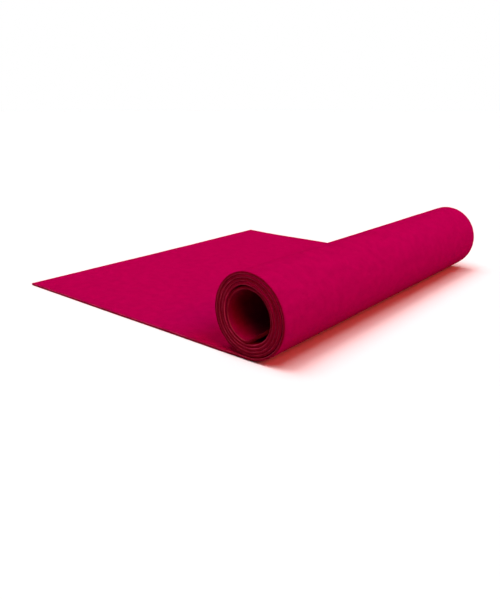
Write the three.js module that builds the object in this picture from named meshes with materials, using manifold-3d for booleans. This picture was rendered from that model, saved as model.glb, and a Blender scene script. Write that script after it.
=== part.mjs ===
// A cut length of thick non-woven cloth, partly rolled up. One end is wound into a loose hollow roll
// of about five turns, and the other end lies flat beside it, on the surface at Z = 0.
// Millimetres, +Z up. The roll lies along Y, and the flat end reaches out towards -X.
import * as THREE from "three";
import { mergeVertices } from "three/addons/utils/BufferGeometryUtils.js";
import Module from "manifold-3d";

// Driving dimensions
const CLOTH_WIDTH = 500; // along Y, so it is also the roll's length
const THICKNESS = 3;
const ROLL_RADIUS = 47.5;
const SAG = 0.2; // how far the roll settles under its own weight, which gives it a small flat spot
const LOOSE_LENGTH = 413; // from the free edge to the point below the roll's axis

// How the cloth is wound. Each row is one turn, from the outermost inwards, and gives the distance
// from the roll's axis to the cloth's outer face on the four sides. The cloth comes in along the
// surface, passes below the axis, and rises on the right-hand side, which is +X.
const TURNS = [
  { right: 47.5, top: 47.5, left: 43.9, bottom: 43.5 },
  { right: 43.2, top: 44.1, left: 39.2, bottom: 40.0 },
  { right: 39.5, top: 40.5, left: 35.5, bottom: 36.5 },
  { right: 35.9, top: 37.0, left: 32.0, bottom: 33.0 },
  { right: 32.4, top: 32.1, left: 28.0, bottom: 29.6 },
];
const STEPS_PER_TURN = 48;

// The cloth's inner end is too short and stiff to follow the turn round it. It springs across the
// lower right of the bore as a straight flap, and its tip stops just short of the wall.
const FLAP = {
  middle: 37, // degrees round from straight down, where it stands furthest off the wall
  tip: 67.5, // degrees round from straight down
  standOff: 25.2, // from the roll's axis to the flap's outer face
  easing: 1.2, // softness of the bend into it
};

// The loose end lies flat, but for two low swells along its far edge
const SWELLS = [
  { from: "free corner", x: -413, reach: 50, lift: 1.0 },
  { from: "beside the roll", x: -232, reach: 125, lift: 0.8 },
];
const SWELL_START = 20; // the swells fade in between this distance past the middle and the far edge
const LOOSE_END_GRID = { along: 20, across: 14 };
const JOIN = { x: -62, lap: 1 }; // where the loose end and the roll are modelled apart, then joined

const CLOTH = { color: 0xba004b, roughness: 0.95, metalness: 0 };

const QUARTERS = 4;
const FULL_TURN = 2 * Math.PI;
const AXIS_HEIGHT = ROLL_RADIUS - SAG;
const FLAT_SPOT = Math.sqrt(ROLL_RADIUS ** 2 - AXIS_HEIGHT ** 2); // how far it runs past the axis
const FIRST_TURN = Math.atan2(FLAT_SPOT, AXIS_HEIGHT) / FULL_TURN;
const LAST_TURN = TURNS.length + FLAP.tip / 360;

// The wound cloth's outer face radius after so many turns: a smooth curve through the table's
// quarter turns, starting below the axis
const quarterRadii = [
  ROLL_RADIUS,
  ...TURNS.flatMap((turn) => [turn.right, turn.top, turn.left, turn.bottom]),
];

function quarterRadius(index) {
  return quarterRadii[THREE.MathUtils.clamp(index, 0, quarterRadii.length - 1)];
}

function woundRadius(turns) {
  const quarters = turns * QUARTERS;
  const before = Math.floor(quarters);
  const share = quarters - before;
  const [r0, r1, r2, r3] = [-1, 0, 1, 2].map((offset) => quarterRadius(before + offset));
  const slopeBefore = (r2 - r0) / 2;
  const slopeAfter = (r3 - r1) / 2;
  const bend = 2 * (r1 - r2) + slopeBefore + slopeAfter;
  const rise = 3 * (r2 - r1) - 2 * slopeBefore - slopeAfter;
  return r1 + share * (slopeBefore + share * (rise + share * bend));
}

// The same radius with the flap at the end: past the last row, the nearer of wall and chord, eased
function faceRadius(turns) {
  const wound = woundRadius(turns);
  const pastLastRow = (turns - TURNS.length) * 360;
  if (pastLastRow < -FLAP.middle) return wound;
  const chord = FLAP.standOff / Math.cos(THREE.MathUtils.degToRad(pastLastRow - FLAP.middle));
  const nearer = Math.exp(-wound / FLAP.easing) + Math.exp(-chord / FLAP.easing);
  return -FLAP.easing * Math.log(nearer);
}

// A point on the outer face, in the plane of the roll's end: x to the right, y up
function outerFace(turns) {
  const angle = turns * FULL_TURN;
  const radius = faceRadius(turns);
  return new THREE.Vector2(
    radius * Math.sin(angle),
    AXIS_HEIGHT - radius * Math.cos(angle),
  );
}

// The point across the cloth from it, one thickness towards the inside of the roll
function innerFace(turns) {
  const nudge = 0.25 / STEPS_PER_TURN;
  const along = outerFace(turns + nudge).sub(outerFace(turns - nudge)).normalize();
  const inward = new THREE.Vector2(-along.y, along.x);
  return outerFace(turns).addScaledVector(inward, THICKNESS);
}

// The rolled end: the spiral's outline, swept along the roll. It starts with the flat run of cloth
// below the roll, up to the end of the flat spot.
function rolledEnd() {
  const firstStep = Math.ceil(FIRST_TURN * STEPS_PER_TURN) + 1;
  const lastStep = Math.round(LAST_TURN * STEPS_PER_TURN);
  const stations = [];
  for (let step = firstStep; step <= lastStep; step++) stations.push(step / STEPS_PER_TURN);
  const start = JOIN.x - JOIN.lap;
  const outline = new THREE.Shape([
    new THREE.Vector2(start, 0),
    new THREE.Vector2(FLAT_SPOT, 0),
    ...stations.map(outerFace),
    ...stations.map(innerFace).reverse(),
    new THREE.Vector2(FLAT_SPOT, THICKNESS),
    new THREE.Vector2(start, THICKNESS),
  ]);
  return new THREE.ExtrudeGeometry(outline, {
    depth: CLOTH_WIDTH,
    steps: 1,
    bevelEnabled: false,
  })
    .translate(0, 0, -CLOTH_WIDTH / 2)
    .rotateX(Math.PI / 2);
}

// How far the loose end stands off the surface at a point of it
function swellHeight(x, y) {
  const fade = THREE.MathUtils.smoothstep(y, SWELL_START, CLOTH_WIDTH / 2);
  const lifts = SWELLS.map((swell) => {
    const away = Math.min(1, Math.abs(x - swell.x) / swell.reach);
    return swell.lift * Math.cos((away * Math.PI) / 2) ** 2;
  });
  return fade * lifts.reduce((sum, lift) => sum + lift, 0);
}

// The loose end: a flat slab on a grid, raised where the cloth swells
function looseEnd() {
  const length = LOOSE_LENGTH + JOIN.x;
  const slab = new THREE.BoxGeometry(
    length,
    CLOTH_WIDTH,
    THICKNESS,
    LOOSE_END_GRID.along,
    LOOSE_END_GRID.across,
    1,
  ).translate(JOIN.x - length / 2, 0, THICKNESS / 2);
  const points = slab.getAttribute("position");
  for (let i = 0; i < points.count; i++) {
    const lift = swellHeight(points.getX(i), points.getY(i));
    points.setZ(i, points.getZ(i) + lift);
  }
  return slab;
}

const wasm = await Module();
wasm.setup();

function toSolid(geometry) {
  const bare = geometry.clone();
  bare.deleteAttribute("normal");
  bare.deleteAttribute("uv");
  const merged = mergeVertices(bare, 1e-4);
  return new wasm.Manifold(
    new wasm.Mesh({
      numProp: 3,
      vertProperties: new Float32Array(merged.attributes.position.array),
      triVerts: new Uint32Array(merged.index.array),
    }),
  );
}

function toGeometry(solid) {
  const mesh = solid.getMesh();
  const geometry = new THREE.BufferGeometry();
  geometry.setAttribute("position", new THREE.BufferAttribute(mesh.vertProperties, 3));
  geometry.setIndex(new THREE.BufferAttribute(mesh.triVerts, 1));
  geometry.computeVertexNormals();
  return geometry;
}

// The whole cloth is one solid, centred over the origin
const cloth = toGeometry(toSolid(rolledEnd()).add(toSolid(looseEnd())));
cloth.computeBoundingBox();
const centre = cloth.boundingBox.getCenter(new THREE.Vector3());

const web = new THREE.Mesh(cloth, new THREE.MeshStandardMaterial(CLOTH));
web.name = "felt_web";
web.position.set(-centre.x, 0, 0);

const group = new THREE.Group();
group.add(web);

export default group;
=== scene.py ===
import math
import bpy
import numpy as np
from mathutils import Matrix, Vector


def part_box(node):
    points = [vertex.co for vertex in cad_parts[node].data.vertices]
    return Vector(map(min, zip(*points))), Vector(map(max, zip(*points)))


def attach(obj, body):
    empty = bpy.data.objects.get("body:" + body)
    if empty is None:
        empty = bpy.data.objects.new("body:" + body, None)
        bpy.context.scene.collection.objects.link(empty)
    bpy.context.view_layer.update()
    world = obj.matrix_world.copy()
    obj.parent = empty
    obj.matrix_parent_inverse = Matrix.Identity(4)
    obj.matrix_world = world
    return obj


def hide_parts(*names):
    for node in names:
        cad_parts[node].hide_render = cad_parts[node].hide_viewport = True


# A cut length of thick needled felt, partly rolled up, on a white floor.
# Metres, +Z up. The roll lies along Y, and the loose end reaches out towards -X.
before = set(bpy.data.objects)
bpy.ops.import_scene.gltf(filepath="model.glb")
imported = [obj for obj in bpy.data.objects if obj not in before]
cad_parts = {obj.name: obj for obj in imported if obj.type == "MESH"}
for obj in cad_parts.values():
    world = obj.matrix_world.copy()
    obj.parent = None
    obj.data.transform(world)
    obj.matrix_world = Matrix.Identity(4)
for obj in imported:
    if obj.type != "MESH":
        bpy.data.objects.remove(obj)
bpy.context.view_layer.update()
print("felt roll: frame loaded")

# Camera

studioCamera = {
    "place": (0.5307, -0.6625, 0.2470),
    "turnDegrees": 39.89,  # to the left of +Y
    "downDegrees": 18.50,  # below the horizon
    "lens": 34.52,  # millimetres, on a 36 mm wide sensor
    "sensor": 36.0,
    "nearest": 0.01,  # metres, the closest thing that it shows
}


def makeCamera(setup):
    data = bpy.data.cameras.new("studioCamera")
    data.lens = setup["lens"]
    data.sensor_width = setup["sensor"]
    data.clip_start = setup["nearest"]
    camera = bpy.data.objects.new("studioCamera", data)
    bpy.context.scene.collection.objects.link(camera)
    camera.location = setup["place"]
    tilt = math.radians(90 - setup["downDegrees"])
    camera.rotation_euler = (tilt, 0, math.radians(setup["turnDegrees"]))
    bpy.context.scene.camera = camera


makeCamera(studioCamera)

# How the felt is cut and wound

felt = {
    "width": 0.500,  # along Y, so it is also the roll's length
    "thickness": 0.003,
    "rollRadius": 0.0475,
    "sag": 0.0002,  # how far the roll settles, which gives it a small flat spot
    "looseLength": 0.413,  # from the free edge to the point below the roll's axis
    "edgeRound": 0.0007,  # radius worn on the cut edges
}

# One row for each turn, from the outermost inwards: from the roll's axis to the felt's outer face on
# the four sides. The felt comes in along the floor, passes below the axis and rises on the right.
windings = [
    {"right": 0.0475, "top": 0.0475, "left": 0.0439, "bottom": 0.0435},
    {"right": 0.0432, "top": 0.0441, "left": 0.0392, "bottom": 0.0400},
    {"right": 0.0395, "top": 0.0405, "left": 0.0355, "bottom": 0.0365},
    {"right": 0.0359, "top": 0.0370, "left": 0.0320, "bottom": 0.0330},
    {"right": 0.0324, "top": 0.0321, "left": 0.0280, "bottom": 0.0296},
]

# The inner end is too short and stiff to follow the turn round it, so it springs across the bore
flap = {
    "middleDegrees": 37,  # round from straight down, where it stands furthest off the wall
    "tipDegrees": 67.5,
    "reachDegrees": 75,  # on either side of the middle, as far as its chord is worked out
    "standOff": 0.0252,  # from the axis to its outer face
    "easing": 0.0012,  # softness of the bend into it
}

# Two low swells along the loose end's far edge
swells = [
    {"x": -0.413, "reach": 0.050, "lift": 0.0010},  # at the free corner
    {"x": -0.232, "reach": 0.125, "lift": 0.0008},  # beside the roll
]
swellStart = 0.020  # past the middle, they fade in from here to the far edge

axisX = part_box("felt_web")[0].x + felt["looseLength"]
axisZ = felt["rollRadius"] - felt["sag"]
flatSpot = math.sqrt(felt["rollRadius"] ** 2 - axisZ**2)
firstTurn = math.atan2(flatSpot, axisZ) / (2 * math.pi)
lastTurn = len(windings) + flap["tipDegrees"] / 360
quarterRadii = np.array(
    [felt["rollRadius"]]
    + [turn[side] for turn in windings for side in ("right", "top", "left", "bottom")]
)


# Outer face radius after so many turns from straight down: a Catmull-Rom curve through the quarters
def woundRadius(turns):
    quarters = turns * 4
    before = np.floor(quarters).astype(int)
    share = quarters - before
    last = len(quarterRadii) - 1
    r0, r1, r2, r3 = (quarterRadii[np.clip(before + k, 0, last)] for k in (-1, 0, 1, 2))
    slopeBefore = (r2 - r0) / 2
    slopeAfter = (r3 - r1) / 2
    bend = 2 * (r1 - r2) + slopeBefore + slopeAfter
    rise = 3 * (r2 - r1) - 2 * slopeBefore - slopeAfter
    return r1 + share * (slopeBefore + share * (rise + share * bend))


# The same with the flap: the nearer of the wound radius and a straight chord's, as a soft minimum
def faceRadius(turns):
    wound = woundRadius(turns)
    past = (turns - len(windings)) * 360
    reach = flap["reachDegrees"]
    fromMiddle = np.clip(past - flap["middleDegrees"], -reach, reach)
    chord = flap["standOff"] / np.cos(np.radians(fromMiddle))
    soft = flap["easing"]
    nearer = -soft * np.log(np.exp(-wound / soft) + np.exp(-chord / soft))
    return np.where(past < -flap["middleDegrees"], wound, nearer)


lineSetup = {
    "step": 0.0005,  # between its points
    "samples": 2600,  # points on the curve before they are evened out
    "bell": 0.002,  # width of the Gaussian that takes out the kink
    "bellSteps": 12,  # how far out it is worked out
}


# The felt's middle line seen along the roll: straight along the floor, then round at half a thickness
# inside the outer face, r (sin a, -cos a). A Gaussian takes out the kink where they meet.
def middleLine():
    half, step, reach = felt["thickness"] / 2, lineSetup["step"], lineSetup["bellSteps"]
    flatX = np.arange(-felt["looseLength"], flatSpot, step)
    turns = np.linspace(firstTurn, lastTurn, lineSetup["samples"])
    angle = turns * 2 * math.pi
    radius = faceRadius(turns)
    x = radius * np.sin(angle)
    z = axisZ - radius * np.cos(angle)
    dx, dz = np.gradient(x), np.gradient(z)
    size = np.hypot(dx, dz)
    x = np.concatenate([flatX, (x - half * dz / size)[1:]])
    z = np.concatenate([np.full(flatX.shape, half), (z + half * dx / size)[1:]])
    turns = np.concatenate([flatX * 0, turns[1:]])
    s = np.concatenate([[0], np.cumsum(np.hypot(np.diff(x), np.diff(z)))])
    even = np.linspace(0, s[-1], int(round(s[-1] / step)) + 1)
    bell = np.exp(-((np.arange(-reach, reach + 1) * step / lineSetup["bell"]) ** 2) / 2)
    bell /= bell.sum()
    lines = []
    for values in (x, z):
        line = np.interp(even, s, values)
        before = line[0] + (line[1] - line[0]) * np.arange(-reach, 0)
        after = line[-1] + (line[-1] - line[-2]) * np.arange(1, reach + 1)
        lines.append(np.convolve(np.concatenate([before, line, after]), bell, "valid"))
    x, z = lines
    dx, dz = np.gradient(x), np.gradient(z)
    size = np.hypot(dx, dz)
    return {
        "s": even,
        "x": x + axisX,
        "z": z,
        "normalX": -dz / size,
        "normalZ": dx / size,
        "turns": np.interp(even, s, turns),
    }


middle = middleLine()
feltLength = float(middle["s"][-1])
print(f"felt roll: {feltLength:.4f} m of felt, {felt['width']:.3f} m wide")


waveSetup = {
    "count": 12,
    "spread": (0.7, 1.4),  # of their lengths, to the one that is asked for
}


# Slow random unevenness, about -1 to 1: a sum of plane waves with random headings and phases
def waves(along, across, wavelength, seed):
    count = waveSetup["count"]
    rng = np.random.default_rng(seed)
    heading = rng.uniform(0, 2 * math.pi, count)
    phase = rng.uniform(0, 2 * math.pi, count)
    number = 2 * math.pi / (wavelength * rng.uniform(*waveSetup["spread"], count))
    total = 0
    for h, p, k in zip(heading, phase, number):
        total = total + np.cos(k * (math.cos(h) * along + math.sin(h) * across) + p)
    return total / math.sqrt(2 * count)


def smooth(value, start, end):
    share = np.clip((value - start) / (end - start), 0, 1)
    return share * share * (3 - 2 * share)


unevenness = {
    "cockle": 0.00015,  # the loose end's, both faces together
    "cockleLength": 0.090,
    "dent": 0.00030,  # the roll's, the same way on all turns, so that they don't meet
    "dentLength": 0.110,
    "dentFrom": 2.2,  # radians round from straight down, where the dents go deepest
    "thickness": 0.00007,  # each face on its own
    "thicknessLength": 0.014,
    "drift": 0.00025,  # how far the turns' ends wander along the roll
    "driftLength": 0.240,
    "cut": 0.00012,  # the blade's wander
    "cutLength": 0.012,
    "cutAcross": 2,  # how much faster it changes through the felt than along it
    "cutDepth": 0.003,  # how far in from the cut it fades out
    "seed": 20,
}

# How far the felt is shifted along the roll, towards +Y, after so many turns from straight down
turnShifts = (
    (0.0, 0.0),
    (1.0, 0.0),
    (1.4, -0.0008),
    (2.0, -0.0006),
    (2.7, -0.0007),
    (3.3, -0.0014),
    (3.8, -0.0013),
    (4.15, 0.0004),
    (4.5, 0.0006),
    (4.75, -0.0008),
    (5.0, -0.0006),
    (5.2, 0.0014),
)

# The roll lies a little askew on its loose end: how far it is towards +X at its two ends
skew = {"near": -0.0012, "far": 0.0001}

# Its near end bends up a little where it leaves the loose end, and its far end stands taller
rollEnds = {"nearLift": 0.0010, "farRise": 0.0005}

# Where one form gives way to the next, in metres along X from below the axis, or in turns
changes = {
    "lying": (-0.110, -0.055),  # the loose end's swells and cockles fade out
    "skewed": (-0.070, 0.0),  # the felt below the roll starts to follow its skew
    "bent": (-0.045, 0.0),  # and the bend of its near end
    "wound": (0.02, 0.30),  # turns, where the roll's dents fade in
}


# Height of the loose end over the floor: each swell is a squared cosine along X, and fades in with Y
def swellHeight(x, y):
    fade = smooth(y, swellStart, felt["width"] / 2)
    total = 0
    for swell in swells:
        away = np.minimum(1, np.abs(x - swell["x"]) / swell["reach"])
        total = total + swell["lift"] * np.cos(away * math.pi / 2) ** 2
    return fade * total


# A point of the felt: u along it from the free edge, v across, w through it from the middle, with
# +w towards the roll's inside. It is the middle line's point, plus w along the line's normal.
def feltPoint(u, v, w):
    lineX, lineZ, normalX, normalZ, turns = (
        np.interp(u, middle["s"], middle[key]) for key in ("x", "z", "normalX", "normalZ", "turns")
    )
    rough, seed, wide = unevenness, unevenness["seed"], felt["width"] / 2
    fromAxis = lineX - axisX
    onRoll = turns > 0
    angle = turns * 2 * math.pi
    lying = np.where(onRoll, 0, 1 - smooth(fromAxis, *changes["lying"]))
    wound = smooth(turns, *changes["wound"])
    # Both faces together, and the cockles only upwards
    cockle = waves(fromAxis, v, rough["cockleLength"], seed) + 1
    lift = lying * (rough["cockle"] * cockle + swellHeight(fromAxis, v))
    around = np.arctan2(fromAxis, axisZ - lineZ)
    dent = waves(0, v, rough["dentLength"], seed + 1) * np.cos(around - rough["dentFrom"])
    shift = wound * rough["dent"] * dent
    # Each face on its own
    inside = waves(u, v, rough["thicknessLength"], seed + 2)
    outside = waves(u, v, rough["thicknessLength"], seed + 3)
    swollen = rough["thickness"] * np.where(w > 0, inside, outside)
    through = w + swollen * w / (felt["thickness"] / 2)
    # Along the roll
    drift = rough["drift"] * waves(u, 0, rough["driftLength"], seed + 4)
    drift = drift + np.interp(turns, *np.array(turnShifts).T)
    nearCut = waves(u, w * rough["cutAcross"], rough["cutLength"], seed + 5)
    farCut = waves(u, w * rough["cutAcross"], rough["cutLength"], seed + 6)
    atEdge = smooth(np.abs(v), wide - rough["cutDepth"], wide)
    cut = rough["cut"] * atEdge * np.where(v < 0, nearCut, farCut)
    # The roll's place on the loose end
    near = 0.5 - v / felt["width"]
    rolled = np.where(onRoll, 1, smooth(fromAxis, *changes["skewed"]))
    aside = skew["far"] + (skew["near"] - skew["far"]) * near
    below = np.where(onRoll, np.maximum(0, np.cos(angle)) ** 2, smooth(fromAxis, *changes["bent"]))
    lift = lift + rollEnds["nearLift"] * near * below
    lift = lift + rollEnds["farRise"] * (1 - near) * wound * (1 - np.cos(angle)) / 2
    x = lineX + rolled * aside + normalX * (through + shift)
    z = lineZ + normalZ * (through + shift) + lift
    return np.stack([x, v + drift + cut, np.maximum(z, 0)], -1)


# The surface of a block of counts[0] x counts[1] x counts[2] grid points: the three indices of each
# point on it, and its quads, which face outwards
def blockSurface(counts):
    sides = []
    for axis in range(3):
        a, b = ((1, 2), (2, 0), (0, 1))[axis]
        ia, ib = np.meshgrid(np.arange(counts[a] - 1), np.arange(counts[b] - 1), indexing="ij")
        for at in (0, counts[axis] - 1):
            corners = []
            for da, db in ((0, 0), (1, 0), (1, 1), (0, 1)):
                index = [None, None, None]
                index[axis] = np.full(ia.shape, at)
                index[a] = ia + da
                index[b] = ib + db
                corners.append((index[0] * counts[1] + index[1]) * counts[2] + index[2])
            quads = np.stack([corner.ravel() for corner in corners], 1)
            sides.append(quads if at else quads[:, ::-1])
    used, faces = np.unique(np.concatenate(sides), return_inverse=True)
    i, rest = np.divmod(used, counts[1] * counts[2])
    j, k = np.divmod(rest, counts[2])
    return i, j, k, faces.reshape(-1, 4)


feltGrid = {
    "edgeRows": (0, 0.00017, 0.0005, 0.0010, 0.0020, 0.0040),  # from a cut edge inwards
    "acrossStep": 0.0125,
    "looseStep": 0.0080,
    "woundStep": 0.0019,
    "throughRows": (0, 0.00017, 0.0005, 0.0010, 0.0015),  # from a face to the middle
    "changeOver": 0.020,  # before the roll's axis, where the loose step gives way to the wound one
}


# Grid lines from low to high: the edge rows at both ends, and even steps between them
def gridLines(low, high, rows, step):
    rows = np.array(rows)
    inner = np.linspace(low + rows[-1], high - rows[-1], int((high - low) / step) + 1)
    return np.concatenate([low + rows[:-1], inner, (high - rows[:-1])[::-1]])


def makeMesh(name, points, faces, uv=None, masks=None):
    mesh = bpy.data.meshes.new(name)
    mesh.from_pydata(points.tolist(), [], faces if isinstance(faces, list) else faces.tolist())
    mesh.polygons.foreach_set("use_smooth", np.ones(len(mesh.polygons), bool))
    if uv is not None:
        corner = np.empty(len(mesh.loops), np.int32)
        mesh.loops.foreach_get("vertex_index", corner)
        layer = mesh.uv_layers.new(name="feltUv")
        layer.uv.foreach_set("vector", uv[corner].astype(np.float32).ravel())
    for key, values in (masks or {}).items():
        mask = mesh.attributes.new(key, "FLOAT", "POINT")
        mask.data.foreach_set("value", values.astype(np.float32))
    mesh.validate()
    mesh.update()
    made = bpy.data.objects.new(name, mesh)
    bpy.context.scene.collection.objects.link(made)
    return made


boreLight = {
    "begins": (0.185, 0.170),  # from the inner end, where the wall of the bore starts
    "lightest": 325,  # degrees round from straight down
    "fade": 80,  # degrees from there to where the shade is fullest
    "depth": 0.030,  # how far in it gets as dark as it can
    "mouth": 0.5,  # the share of that at the mouth
    "least": 0.3,  # the shade on the lightest side
    "added": 0.8,  # what the other sides have on top of it
    "flapTip": (0.034, 0.017),  # from the inner end, where the flap falls into full shade
}


# How much light the felt round the bore loses, from 0 to 1: more away from its lightest side and
# deeper in, and all of it on the flap's tip
def boreShade(u, v, w):
    light = boreLight
    turns = np.interp(u, middle["s"], middle["turns"])
    away = np.abs((turns % 1) * 360 - light["lightest"])
    away = np.minimum(away, 360 - away)
    inwards = smooth(felt["width"] / 2 - np.abs(v), 0, light["depth"])
    deep = light["mouth"] + (1 - light["mouth"]) * inwards
    wall = smooth(u, *(feltLength - np.array(light["begins"]))) * smooth(w, 0, felt["thickness"] / 2)
    wall = wall * (light["least"] + light["added"] * deep * smooth(away, 0, light["fade"]))
    return np.maximum(np.minimum(1, wall), smooth(u, *(feltLength - np.array(light["flapTip"]))))


# How the cut edges are coloured, with painted highlight and painted shade along them
edgeMarks = {
    "looseLoss": 0.40,  # how much less the loose end's cuts show their own colour
    "rimWidth": 0.0009,  # of the painted highlight, a paler rim along a cut's upper edge
    "rimTip": (0.040, 0.020),  # from the inner end, where the rim's painted highlight fades
    "rimTipLoss": 0.7,
    "edgeShade": 0.30,  # painted shade: how much of a cut's colour shows on the face beside it
    "edgeShadeWidth": 0.0025,
}


# The felt's masks for its material, each from 0 to 1: in a cut or in the painted shade beside one, on
# the rim's painted highlight, and in the bore's painted shade. Highlight and edge shade fall off from
# their edge as Gaussians.
def feltMasks(point, rounded, out):
    marks, wide = edgeMarks, felt["width"] / 2
    u, v, w = rounded.T
    inCut = np.abs(out[:, :2]).max(1)
    toCorner = np.hypot(
        np.maximum(0, 1 - inCut) * felt["edgeRound"],
        felt["thickness"] / 2 - point[:, 2],
    )
    loose = u < felt["looseLength"] - feltGrid["changeOver"]
    fromEdge = np.minimum(wide - np.abs(v), u)
    # Painted shade on the faces along the cut edges, darkest at the edge
    edgeShade = marks["edgeShade"] * np.exp(-((fromEdge / marks["edgeShadeWidth"]) ** 2))
    # Painted highlight along each cut's upper edge, where light catches it
    rimHighlight = inCut.clip(0, 1) ** 0.5 * np.exp(-((toCorner / marks["rimWidth"]) ** 2))
    tip = smooth(u, *(feltLength - np.array(marks["rimTip"])))
    return {
        "cut": np.maximum(inCut * (1 - marks["looseLoss"] * loose), edgeShade),
        "rimHighlight": rimHighlight * (1 - marks["rimTipLoss"] * tip),
        "shade": boreShade(u, v, w),
    }


# A block's points with its edges worn round: each point within a radius of an edge is pushed onto
# the round there. Also how far into the edge each was, in radii.
def roundEdges(point):
    r, half, wide = felt["edgeRound"], felt["thickness"] / 2, felt["width"] / 2
    low = np.array([r, r - wide, r - half])
    high = np.array([feltLength - r, wide - r, half - r])
    inside = np.clip(point, low, high)
    out = point - inside
    size = np.linalg.norm(out, axis=1, keepdims=True)
    return inside + out * (r / np.maximum(size, 1e-9)), out / r


# The felt: a block's surface with worn edges, bent along the middle line. The UV map is
# (u + w, v + w), in metres.
def makeFelt():
    grid, half, wide = feltGrid, felt["thickness"] / 2, felt["width"] / 2
    rows = grid["edgeRows"]
    looseEnd = felt["looseLength"] - grid["changeOver"]
    loose = gridLines(0, 2 * looseEnd, rows, grid["looseStep"])
    wound = gridLines(2 * looseEnd - feltLength, feltLength, rows, grid["woundStep"])
    u = np.concatenate([loose[loose < looseEnd], wound[wound >= looseEnd]])
    v = gridLines(-wide, wide, rows, grid["acrossStep"])
    through = np.array(grid["throughRows"])
    w = np.concatenate([-half + through, (half - through[:-1])[::-1]])
    i, j, k, faces = blockSurface((len(u), len(v), len(w)))
    point = np.stack([u[i], v[j], w[k]], 1)
    rounded, out = roundEdges(point)
    uv = rounded[:, :2] + rounded[:, 2:3]
    where = feltPoint(rounded[:, 0], rounded[:, 1], rounded[:, 2])
    return makeMesh("felt_cloth", where, faces, uv, feltMasks(point, rounded, out))


feltCloth = makeFelt()
print(f"felt roll: cloth has {len(feltCloth.data.polygons)} quads")

# Loose fibres

edgeFuzz = {
    "perMetre": 2250,  # of each long edge
    "freeEdge": 900,
    "innerEdge": 260,
    "length": (0.0004, 0.0015),
    "thickness": 0.000050,
    "level": 0.92,  # of half the felt's thickness, as far up or down as they start
    "alongEdge": 0.55,  # how far they lean, to their reach outwards
    "upOrDown": 0.45,
    "curl": 0.6,
    "rings": (-0.15, 0.3, 0.7, 1.0),  # of the length, where their rings of points are
    "taper": (1.0, 1.0, 0.8, 0.3),  # of the thickness there
    "seed": 31,
}
faceFuzz = {
    "length": (0.0030, 0.0100),
    "thickness": 0.000055,
    "lift": 0.00026,
    "leastLift": 0.3,  # of that
    "sunk": 0.00006,  # how deep their ends are felted in
    "bow": 0.5,
    "bowMiddle": 0.1,  # keeps the arc about its place
    "margin": 0.004,  # from the long edges
    "taper": (0.5, 1.0, 1.0, 1.0, 1.0, 0.5),
    "seed": 32,
}
rollStart = felt["looseLength"]
outerTurn = 2 * math.pi * felt["rollRadius"]
# Where along the felt they lie, and on its inside (1) or its outside (-1)
fuzzPatches = (
    {"count": 2300, "from": 0.006, "to": rollStart - 0.010, "face": 1},  # loose end
    {"count": 2100, "from": rollStart + 0.015, "to": rollStart + outerTurn, "face": -1},  # roll
    {"count": 300, "from": feltLength - 0.170, "to": feltLength - 0.006, "face": 1},  # bore
)
fibreGap = 0.00002  # the least between a fibre and the floor


# Thin three-sided tubes, one for each row of centres (fibres x rings x 3). Round each ring's centre
# its corners are r (a cos t + b sin t), with a and b square to the fibre, and r falls to the ends.
def makeFibres(name, centres, fuzz, shade):
    count, rings = centres.shape[:2]
    along = np.gradient(centres, axis=1)
    along /= np.linalg.norm(along, axis=2, keepdims=True)
    anyHeading = (0.31, 0.52, 0.79)
    a = np.cross(along, anyHeading)
    a /= np.linalg.norm(a, axis=2, keepdims=True)
    b = np.cross(along, a)
    corner = np.arange(3) * 2 * math.pi / 3
    radius = (fuzz["thickness"] / 2 * np.array(fuzz["taper"]))[None, :, None, None]
    ring = a[:, :, None] * np.cos(corner)[:, None] + b[:, :, None] * np.sin(corner)[:, None]
    points = centres[:, :, None] + radius * ring
    points[..., 2] = np.maximum(points[..., 2], fibreGap)
    start = (np.arange(count) * rings * 3)[:, None, None]
    row = start + (np.arange(rings - 1) * 3)[None, :, None]
    now, after = np.arange(3), (np.arange(3) + 1) % 3
    sides = np.stack([row + now, row + after, row + 3 + after, row + 3 + now], -1).reshape(-1, 4)
    first = start[:, 0] + np.array([0, 2, 1])
    last = start[:, 0] + (rings - 1) * 3 + np.arange(3)
    faces = sides.tolist() + first.tolist() + last.tolist()
    masks = {"shade": np.repeat(shade, rings * 3)}
    return makeMesh(name, points.reshape(-1, 3), faces, masks=masks)


# Fibres that stand off the cut edges. In (u, v, w) each is root + length (t heading + t^2 curl).
def makeEdgeFuzz():
    fuzz, wide, half = edgeFuzz, felt["width"] / 2, felt["thickness"] / 2
    rng = np.random.default_rng(fuzz["seed"])
    longEdge = int(fuzz["perMetre"] * feltLength)
    edges = (
        ("long", -1, longEdge),
        ("long", 1, longEdge),
        ("short", -1, fuzz["freeEdge"]),
        ("short", 1, fuzz["innerEdge"]),
    )
    roots, ways = [], []
    for edge, side, count in edges:
        level = rng.uniform(-fuzz["level"], fuzz["level"], count) * half
        outwards = np.full(count, side)
        if edge == "long":
            place = [rng.uniform(0, feltLength, count), outwards * wide, level]
        else:
            place = [np.full(count, max(0, side) * feltLength), rng.uniform(-wide, wide, count), level]
        lean = rng.normal(0, fuzz["alongEdge"], count)
        rise = rng.normal(0, fuzz["upOrDown"], count)
        way = [lean, outwards, rise] if edge == "long" else [outwards, lean, rise]
        roots.append(np.stack(place, 1))
        ways.append(np.stack(way, 1))
    roots, ways = np.concatenate(roots), np.concatenate(ways)
    count = len(roots)
    length = rng.uniform(*fuzz["length"], count)[:, None, None]
    curl = rng.normal(0, fuzz["curl"], (count, 1, 3))
    t = np.array(fuzz["rings"])[None, :, None]
    path = roots[:, None] + length * (t * ways[:, None] + t * t * curl)
    centres = feltPoint(path[..., 0], path[..., 1], path[..., 2])
    return makeFibres("edge_fibres", centres, fuzz, rng.uniform(0, 1, count))


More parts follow.
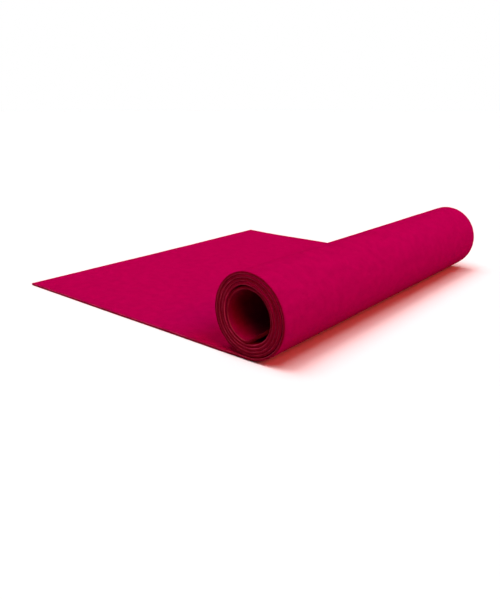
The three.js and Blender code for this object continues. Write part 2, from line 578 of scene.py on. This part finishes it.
# Fibres that lie on the faces with both ends felted in. In (u, v) each is a shallow arc of random
# heading, and it stands off the face by lift (1 - 4 t^2), with t from -1/2 to 1/2.
def makeFaceFuzz():
    fuzz, half = faceFuzz, felt["thickness"] / 2
    wide = felt["width"] / 2 - fuzz["margin"]
    rng = np.random.default_rng(fuzz["seed"])
    u, v, side = [], [], []
    for patch in fuzzPatches:
        u.append(rng.uniform(patch["from"], patch["to"], patch["count"]))
        v.append(rng.uniform(-wide, wide, patch["count"]))
        side.append(np.full(patch["count"], patch["face"]))
    u, v, side = (np.concatenate(values)[:, None] for values in (u, v, side))
    count = len(u)
    length = rng.uniform(*fuzz["length"], (count, 1))
    heading = rng.uniform(0, 2 * math.pi, (count, 1))
    bow = rng.normal(0, fuzz["bow"], (count, 1))
    lift = fuzz["lift"] * rng.uniform(fuzz["leastLift"], 1.0, (count, 1))
    t = np.linspace(-0.5, 0.5, len(fuzz["taper"]))[None]
    forward, sideways = length * t, length * bow * (t * t - fuzz["bowMiddle"])
    alongU = u + forward * np.cos(heading) - sideways * np.sin(heading)
    acrossV = v + forward * np.sin(heading) + sideways * np.cos(heading)
    height = side * (half - fuzz["sunk"] + lift * (1 - 4 * t * t))
    centres = feltPoint(alongU, np.clip(acrossV, -wide, wide), height)
    return makeFibres("face_fibres", centres, fuzz, rng.uniform(0, 1, count))


edgeFibres = makeEdgeFuzz()
faceFibres = makeFaceFuzz()
fibreFaces = len(edgeFibres.data.polygons) + len(faceFibres.data.polygons)
print(f"felt roll: {fibreFaces} faces of loose fibre")

# Materials

# The felt's dye colours and fibre texture, with the rims' painted highlight and the bore's painted
# shade
dyeAndPaintedLight = {
    "face": (0.1950, 0.0001, 0.0253),
    "cut": (0.0960, 0.0001, 0.0062),
    # painted highlight on the cuts' upper rims
    "rimHighlight": (0.2350, 0.0150, 0.0420),
    "shade": (0.40, 0.40, 0.10),  # what is left of the colour in full shade round the bore
    "fibreLight": 1.30,  # the face's colour is this on top of a fibre
    "fibreDark": 0.74,  # and this between fibres
    "needleDark": 0.80,  # and this in a needle mark
    "cloud": 0.06,  # how much darker and lighter it slowly gets
    "cutDark": 0.6,  # the cut's colour goes from this
    "cutLight": 1.4,  # to this, in specks
    "looseDark": 0.7,  # a loose fibre has the face's colour, from this
    "looseLight": 1.9,  # to this
}
fibreLook = {
    "finePerMetre": 2300,
    "coarsePerMetre": 800,
    "coarseShare": 0.6,  # how much of the coarse fibres shows
    "stretch": 0.12,  # a fibre's breadth, to its length
    "headings": (12, 74, 131),  # degrees
    "detail": 1.5,
    "ridge": 0.10,  # how far from its mid-level the noise is still a fibre
    "bendCoarseness": 0.11,  # of the noise that bends the fibres, to their own
    "bendDetail": 1.0,
    "bendReach": 2.6,  # fibre breadths
    "bump": 0.00014,
    "bumpStrength": 0.8,
    "cloudPerMetre": 90,
    "cloudDetail": 3.0,
    "cloudRange": (0.3, 0.7),
    "cloudBump": 0.00006,
    "needlesPerMetre": 620,
    "needleRange": (0.10, 0.30),  # a mark's radius, from full to none, to the marks' spacing
    "needleDepth": 0.00012,
    "needleStrength": 0.6,
    "specksPerMetre": 1900,
    "speckDetail": 2.0,
    "speckRange": (0.35, 0.65),
    "rimRange": (0.35, 0.60),  # of the cloudiness, from the least of the rim's painted highlight to all of it
    "rimLeast": 0.45,
}
finish = {
    "roughness": (1.0, 0.86),  # between fibres, and on one
    "sheen": 0.03,
    "sheenRoughness": 0.5,
    "sheenTint": (1.0, 0.0, 0.3),
    "looseSpecular": 0.1,
    "looseRoughness": 0.7,
}


def newNode(tree, kind, place, **settings):
    node = tree.nodes.new(kind)
    node.location = place
    for key, value in settings.items():
        setattr(node, key, value)
    return node


def mathNode(tree, operation, place, *values):
    node = newNode(tree, "ShaderNodeMath", place, operation=operation)
    for index, value in enumerate(values):
        if isinstance(value, (int, float)):
            node.inputs[index].default_value = value
        else:
            tree.links.new(value, node.inputs[index])
    return node.outputs[0]


def vectorNode(tree, operation, place, vector, other):
    node = newNode(tree, "ShaderNodeVectorMath", place, operation=operation)
    tree.links.new(vector, node.inputs[0])
    socket = node.inputs["Scale" if operation == "SCALE" else 1]
    if isinstance(other, tuple):
        socket.default_value = other
    else:
        tree.links.new(other, socket)
    return node.outputs[0]


def noiseNode(tree, place, vector, detail, scale, dimensions="2D"):
    node = newNode(tree, "ShaderNodeTexNoise", place, noise_dimensions=dimensions)
    node.inputs["Detail"].default_value = detail
    tree.links.new(vector, node.inputs["Vector"])
    if isinstance(scale, (int, float)):
        node.inputs["Scale"].default_value = scale
    else:
        tree.links.new(scale, node.inputs["Scale"])
    return node


# A value that goes from start to end while the given one goes from low to high
def mapRange(tree, place, value, low, high, start=0.0, end=1.0, kind="LINEAR"):
    node = newNode(tree, "ShaderNodeMapRange", place, interpolation_type=kind)
    for socket, level in (("From Min", low), ("From Max", high), ("To Min", start), ("To Max", end)):
        node.inputs[socket].default_value = level
    tree.links.new(value, node.inputs["Value"])
    return node.outputs[0]


# The group's vector, bent by a slow noise
def bentVector(group, given):
    perMetre = given.outputs["Per metre"]
    scale = mathNode(group, "MULTIPLY", (-1150, 250), perMetre, fibreLook["bendCoarseness"])
    slow = noiseNode(group, (-950, 250), given.outputs["Vector"], fibreLook["bendDetail"], scale)
    centred = vectorNode(group, "SUBTRACT", (-750, 250), slow.outputs["Color"], (0.5, 0.5, 0.5))
    reach = mathNode(group, "DIVIDE", (-950, 450), fibreLook["bendReach"], perMetre)
    bend = vectorNode(group, "SCALE", (-550, 250), centred, reach)
    return vectorNode(group, "ADD", (-400, 100), given.outputs["Vector"], bend)


# Fibres of one heading, as ridges from 0 to 1
def ridgesAlong(group, given, vector, heading, y):
    perMetre = given.outputs["Per metre"]
    turned = newNode(group, "ShaderNodeVectorRotate", (-200, y), rotation_type="Z_AXIS")
    turned.inputs["Angle"].default_value = math.radians(heading)
    group.links.new(vector, turned.inputs["Vector"])
    lengthwise = mathNode(group, "MULTIPLY", (-200, y - 180), perMetre, given.outputs["Stretch"])
    size = newNode(group, "ShaderNodeCombineXYZ", (-50, y - 180))
    group.links.new(lengthwise, size.inputs["X"])
    group.links.new(perMetre, size.inputs["Y"])
    scaled = vectorNode(group, "MULTIPLY", (50, y), turned.outputs[0], size.outputs[0])
    noise = noiseNode(group, (200, y), scaled, fibreLook["detail"], 1.0)
    off = mathNode(group, "SUBTRACT", (380, y), noise.outputs["Fac"], 0.5)
    off = mathNode(group, "ABSOLUTE", (500, y), off)
    return mapRange(group, (620, y), off, 0.0, fibreLook["ridge"], 1.0, 0.0, "SMOOTHSTEP")


# A tangle of fibres in the UV plane: noise stretched along three headings, its mid-level lines kept
# as thin ridges, after a slow noise has bent them. Out come the ridges and a slow cloudiness.
def fibreGroup():
    group = bpy.data.node_groups.new("needledFibres", "ShaderNodeTree")
    group.interface.new_socket("Vector", in_out="INPUT", socket_type="NodeSocketVector")
    for name in ("Per metre", "Stretch", "Cloud per metre"):
        group.interface.new_socket(name, in_out="INPUT", socket_type="NodeSocketFloat")
    for name in ("Fibres", "Cloud"):
        group.interface.new_socket(name, in_out="OUTPUT", socket_type="NodeSocketFloat")
    given = newNode(group, "NodeGroupInput", (-1200, 0))
    result = newNode(group, "NodeGroupOutput", (900, 0))
    vector = bentVector(group, given)
    ridges = [
        ridgesAlong(group, given, vector, heading, -300 * index)
        for index, heading in enumerate(fibreLook["headings"])
    ]
    both = mathNode(group, "MAXIMUM", (760, 0), ridges[0], ridges[1])
    tangle = mathNode(group, "MAXIMUM", (830, -100), both, ridges[2])
    group.links.new(tangle, result.inputs["Fibres"])
    scale, detail = given.outputs["Cloud per metre"], fibreLook["cloudDetail"]
    cloud = noiseNode(group, (200, 350), given.outputs["Vector"], detail, scale)
    group.links.new(cloud.outputs["Fac"], result.inputs["Cloud"])
    return group


needledFibres = fibreGroup()


def placeFibres(tree, place, vector, perMetre):
    node = newNode(tree, "ShaderNodeGroup", place)
    node.node_tree = needledFibres
    tree.links.new(vector, node.inputs["Vector"])
    node.inputs["Per metre"].default_value = perMetre
    node.inputs["Stretch"].default_value = fibreLook["stretch"]
    node.inputs["Cloud per metre"].default_value = fibreLook["cloudPerMetre"]
    return node


def mixColour(tree, place, factor, low, high):
    node = newNode(tree, "ShaderNodeMix", place, data_type="RGBA")
    tree.links.new(factor, node.inputs["Factor"])
    for socket, value in (("A", low), ("B", high)):
        if isinstance(value, tuple):
            node.inputs[socket].default_value = (*value, 1)
        else:
            tree.links.new(value, node.inputs[socket])
    return node.outputs["Result"]


# A colour times another where the factor is 1
def multiplied(tree, place, factor, colour, by):
    result = mixColour(tree, place, factor, colour, by)
    result.node.blend_type = "MULTIPLY"
    return result


def times(colour, factor):
    return tuple(channel * factor for channel in colour)


def mask(tree, name, place):
    return newNode(tree, "ShaderNodeAttribute", place, attribute_name=name).outputs["Fac"]


# Marks left by the felting needles, 1 in the middle of each
def needleMarks(tree, uv):
    needles = newNode(tree, "ShaderNodeTexVoronoi", (-1250, 650), voronoi_dimensions="2D")
    needles.inputs["Scale"].default_value = fibreLook["needlesPerMetre"]
    tree.links.new(uv, needles.inputs["Vector"])
    distance = needles.outputs["Distance"]
    low, high = fibreLook["needleRange"]
    return mapRange(tree, (-1000, 650), distance, low, high, 1.0, 0.0, "SMOOTHSTEP")


# The faces' colour: fibres over darker gaps, with needle marks, and slowly darker and lighter
def faceColour(tree, fibre, needle, cloud):
    dark, light = times(dyeAndPaintedLight["face"], dyeAndPaintedLight["fibreDark"]), times(dyeAndPaintedLight["face"], dyeAndPaintedLight["fibreLight"])
    colour = mixColour(tree, (-650, 200), fibre, dark, light)
    colour = multiplied(tree, (-560, 450), needle, colour, (dyeAndPaintedLight["needleDark"],) * 3)
    low, high = fibreLook["cloudRange"]
    bright = mapRange(tree, (-1000, 400), cloud, low, high, 1 - dyeAndPaintedLight["cloud"], 1 + dyeAndPaintedLight["cloud"])
    return vectorNode(tree, "SCALE", (-480, 250), colour, bright)


# The cuts' colour: specks, which are the ends of fibres
def cutColour(tree):
    place = newNode(tree, "ShaderNodeTexCoord", (-1500, -400)).outputs["Object"]
    scale, detail = fibreLook["specksPerMetre"], fibreLook["speckDetail"]
    ends = noiseNode(tree, (-1250, -400), place, detail, scale, "3D")
    speck = mapRange(tree, (-1000, -400), ends.outputs["Fac"], *fibreLook["speckRange"])
    dark, light = times(dyeAndPaintedLight["cut"], dyeAndPaintedLight["cutDark"]), times(dyeAndPaintedLight["cut"], dyeAndPaintedLight["cutLight"])
    return mixColour(tree, (-650, -300), speck, dark, light)


# The mask of the rim's painted highlight, broken up by the slow cloudiness
def rimHighlightMask(tree, cloud):
    low, high = fibreLook["rimRange"]
    broken = mapRange(tree, (-650, -600), cloud, low, high, fibreLook["rimLeast"])
    return mathNode(tree, "MULTIPLY", (-300, -250), mask(tree, "rimHighlight", (-450, -250)), broken)


def bumpNode(tree, place, height, distance, strength=1.0, invert=False, over=None):
    node = newNode(tree, "ShaderNodeBump", place, invert=invert)
    node.inputs["Distance"].default_value = distance
    node.inputs["Strength"].default_value = strength
    tree.links.new(height, node.inputs["Height"])
    if over:
        tree.links.new(over, node.inputs["Normal"])
    return node.outputs[0]


# Soft lumps, then needle pits, then fibres
def feltBump(tree, cloud, needle, fibre):
    look = fibreLook
    lumps = bumpNode(tree, (-450, -650), cloud, look["cloudBump"])
    depth, strength = look["needleDepth"], look["needleStrength"]
    pits = bumpNode(tree, (-350, -850), needle, depth, strength, True, lumps)
    return bumpNode(tree, (-250, -650), fibre, look["bump"], look["bumpStrength"], over=pits)


# Matt dyed felt: fine and coarse fibres and cloudiness on its faces, and dark fibre ends in its cuts
def makeFeltMaterial():
    material = bpy.data.materials.new("needledFelt")
    material.use_nodes = True
    tree = material.node_tree
    shader = tree.nodes["Principled BSDF"]
    shader.inputs["Specular IOR Level"].default_value = 0.0
    shader.inputs["Sheen Weight"].default_value = finish["sheen"]
    shader.inputs["Sheen Roughness"].default_value = finish["sheenRoughness"]
    shader.inputs["Sheen Tint"].default_value = (*finish["sheenTint"], 1)
    uv = newNode(tree, "ShaderNodeUVMap", (-1500, 0), uv_map="feltUv").outputs[0]
    fine = placeFibres(tree, (-1250, 200), uv, fibreLook["finePerMetre"])
    coarse = placeFibres(tree, (-1250, -50), uv, fibreLook["coarsePerMetre"])
    cloud = coarse.outputs["Cloud"]
    share = fibreLook["coarseShare"]
    fibre = mathNode(tree, "MULTIPLY", (-1000, 0), coarse.outputs["Fibres"], share)
    fibre = mathNode(tree, "MAXIMUM", (-850, 100), fine.outputs["Fibres"], fibre)
    needle = needleMarks(tree, uv)
    face = faceColour(tree, fibre, needle, fine.outputs["Cloud"])
    # The cut mask also carries the painted shade along the cut edges
    colour = mixColour(tree, (-300, 100), mask(tree, "cut", (-650, -50)), face, cutColour(tree))
    # Painted highlight on the cuts' upper rims
    colour = mixColour(tree, (-150, 0), rimHighlightMask(tree, cloud), colour, dyeAndPaintedLight["rimHighlight"])
    # Painted shade round the bore and on the flap's tip
    colour = multiplied(tree, (-80, 200), mask(tree, "shade", (-300, 400)), colour, dyeAndPaintedLight["shade"])
    rough = mapRange(tree, (-450, -450), fibre, 0.0, 1.0, *finish["roughness"])
    normal = feltBump(tree, cloud, needle, fibre)
    for result, socket in ((colour, "Base Color"), (rough, "Roughness"), (normal, "Normal")):
        tree.links.new(result, shader.inputs[socket])
    return material


# A single loose fibre: darker to much paler than the felt, because no others shade it
def makeFibreMaterial():
    material = bpy.data.materials.new("looseFibre")
    material.use_nodes = True
    tree = material.node_tree
    shader = tree.nodes["Principled BSDF"]
    shader.inputs["Specular IOR Level"].default_value = finish["looseSpecular"]
    shader.inputs["Roughness"].default_value = finish["looseRoughness"]
    dark, light = times(dyeAndPaintedLight["face"], dyeAndPaintedLight["looseDark"]), times(dyeAndPaintedLight["face"], dyeAndPaintedLight["looseLight"])
    colour = mixColour(tree, (-250, 0), mask(tree, "shade", (-500, 0)), dark, light)
    tree.links.new(colour, shader.inputs["Base Color"])
    return material


feltCloth.data.materials.append(makeFeltMaterial())
fibreMaterial = makeFibreMaterial()
for fibres in (edgeFibres, faceFibres):
    fibres.data.materials.append(fibreMaterial)
print("felt roll: materials made")

# Floor and lights

studio = {
    "floorSize": 60.0,
    "floorDrop": 0.0001,  # below the felt, so that the two don't share a plane
    "floorColour": (0.90, 0.91, 0.93),
    "world": 0.142,
    "worldColour": (1.0, 0.9, 0.70),
    "worldShown": 1.0,  # and white, what the camera sees past the floor
}

# Distant soft boxes. Strength is what each adds to a white surface that faces it. The azimuth it
# comes from goes round from +X towards +Y, and spread is its width in degrees.
lights = [
    {"name": "key", "strength": 0.57, "colour": (1, 1, 1), "elevation": 72, "azimuth": 206,
     "spread": 34, "lights": "all"},
    {"name": "overhead", "strength": 0.48, "colour": (1, 1, 1), "elevation": 72, "azimuth": -75,
     "spread": 45, "lights": "all"},
    {"name": "rightWarm", "strength": 1.46, "colour": (1, 0.6, 0.08), "elevation": 43,
     "azimuth": -12, "spread": 40, "lights": "felt"},
    {"name": "rightCool", "strength": 1.66, "colour": (0, 0.5, 1), "elevation": 50,
     "azimuth": 3, "spread": 28, "lights": "felt"},
    {"name": "leftFill", "strength": 0.33, "colour": (1, 0.8, 0.25), "elevation": 30,
     "azimuth": 165, "spread": 60, "lights": "felt"},
    {"name": "floorGlow", "strength": 0.55, "colour": (1, 0.02, 0.02), "elevation": 38,
     "azimuth": 0, "spread": 30, "lights": "floor"},
    {"name": "floorBlush", "strength": 0.07, "colour": (1, 0.02, 0.02), "elevation": 68,
     "azimuth": 0, "spread": 30, "lights": "floor"},
]


def makeFloor():
    half = studio["floorSize"] / 2
    corners = np.array([[-half, -half, 0], [half, -half, 0], [half, half, 0], [-half, half, 0]])
    floor = makeMesh("studioFloor", corners - (0, 0, studio["floorDrop"]), [[0, 1, 2, 3]])
    material = bpy.data.materials.new("whiteFloor")
    material.use_nodes = True
    shader = material.node_tree.nodes["Principled BSDF"]
    shader.inputs["Base Color"].default_value = (*studio["floorColour"], 1)
    shader.inputs["Roughness"].default_value = 1.0
    shader.inputs["Specular IOR Level"].default_value = 0.0
    floor.data.materials.append(material)
    return floor


def makeWorld():
    world = bpy.data.worlds.new("studioWorld")
    bpy.context.scene.world = world
    world.use_nodes = True
    nodes, links = world.node_tree.nodes, world.node_tree.links
    background = nodes["Background"]
    path = nodes.new("ShaderNodeLightPath")
    colour = nodes.new("ShaderNodeMix")
    colour.data_type = "RGBA"
    colour.inputs["A"].default_value = (*studio["worldColour"], 1)
    colour.inputs["B"].default_value = (1, 1, 1, 1)
    links.new(path.outputs["Is Camera Ray"], colour.inputs["Factor"])
    links.new(colour.outputs["Result"], background.inputs["Color"])
    strength = nodes.new("ShaderNodeMix")
    strength.inputs["A"].default_value = studio["world"]
    strength.inputs["B"].default_value = studio["worldShown"]
    links.new(path.outputs["Is Camera Ray"], strength.inputs["Factor"])
    links.new(strength.outputs["Result"], background.inputs["Strength"])


def makeLights(reached):
    for setup in lights:
        data = bpy.data.lights.new(setup["name"], "SUN")
        data.energy = setup["strength"] * math.pi
        data.color = setup["colour"]
        data.angle = math.radians(setup["spread"])
        light = bpy.data.objects.new(setup["name"], data)
        bpy.context.scene.collection.objects.link(light)
        up, turn = math.radians(setup["elevation"]), math.radians(setup["azimuth"])
        level = math.cos(up)
        towards = Vector((level * math.cos(turn), level * math.sin(turn), math.sin(up)))
        light.rotation_mode = "QUATERNION"
        light.rotation_quaternion = towards.to_track_quat("Z", "Y")
        if setup["lights"] != "all":
            light.light_linking.receiver_collection = reached[setup["lights"]]


def linkGroup(name, pieces):
    group = bpy.data.collections.new(name)
    for piece in pieces:
        group.objects.link(piece)
    return group


floor = makeFloor()
makeWorld()
feltPieces = [feltCloth, edgeFibres, faceFibres]
makeLights({"felt": linkGroup("feltOnly", feltPieces), "floor": linkGroup("floorOnly", [floor])})
bpy.context.scene.view_settings.view_transform = "Standard"
print("felt roll: floor and lights made")

for piece in feltPieces:
    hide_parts("felt_web")
    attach(piece, "root")
